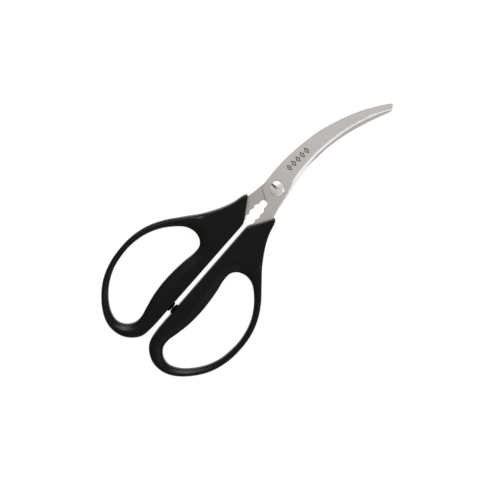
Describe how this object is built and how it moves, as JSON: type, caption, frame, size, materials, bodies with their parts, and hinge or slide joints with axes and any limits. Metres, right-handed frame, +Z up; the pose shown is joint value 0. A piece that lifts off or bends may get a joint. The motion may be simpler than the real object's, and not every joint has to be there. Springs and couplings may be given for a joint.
{
  "type": "poultry shears",
  "caption": "Curved-blade poultry shears with moulded loop handles, a scalloped gripping notch and a screwed pivot, lying closed.",
  "frame": {"origin": "centre of the closed shears' bounding box in plan, at the handles' underside", "axes": "+Y from the finger loops towards the blade tips, +X towards the concave side that the blades curve to, +Z up out of the screw head's side"},
  "size_m": [0.0928, 0.207, 0.0104],
  "materials": {
    "blade_steel": "satin ground stainless steel with bright ground cutting bevels",
    "screw_steel": "polished stainless steel",
    "handle_plastic": "black moulded plastic with a satin surface",
    "bumper_rubber": "matt black rubber"
  },
  "bodies": {
    "lower_lever": {"lower_blade": "blade_steel", "left_handle": "handle_plastic", "left_stop_bumper": "bumper_rubber", "pivot_screw": "screw_steel", "pivot_washer": "screw_steel", "pivot_nut": "screw_steel"},
    "upper_lever": {"upper_blade": "blade_steel", "right_handle": "handle_plastic", "right_stop_bumper": "bumper_rubber"}
  },
  "joints": [
    {"name": "pivot", "type": "hinge", "parent": "lower_lever", "child": "upper_lever", "pos_m": [0, 0.02293, 0.0052], "axis": [0, 0, 1], "range_deg": [0, 70]}
  ]
}
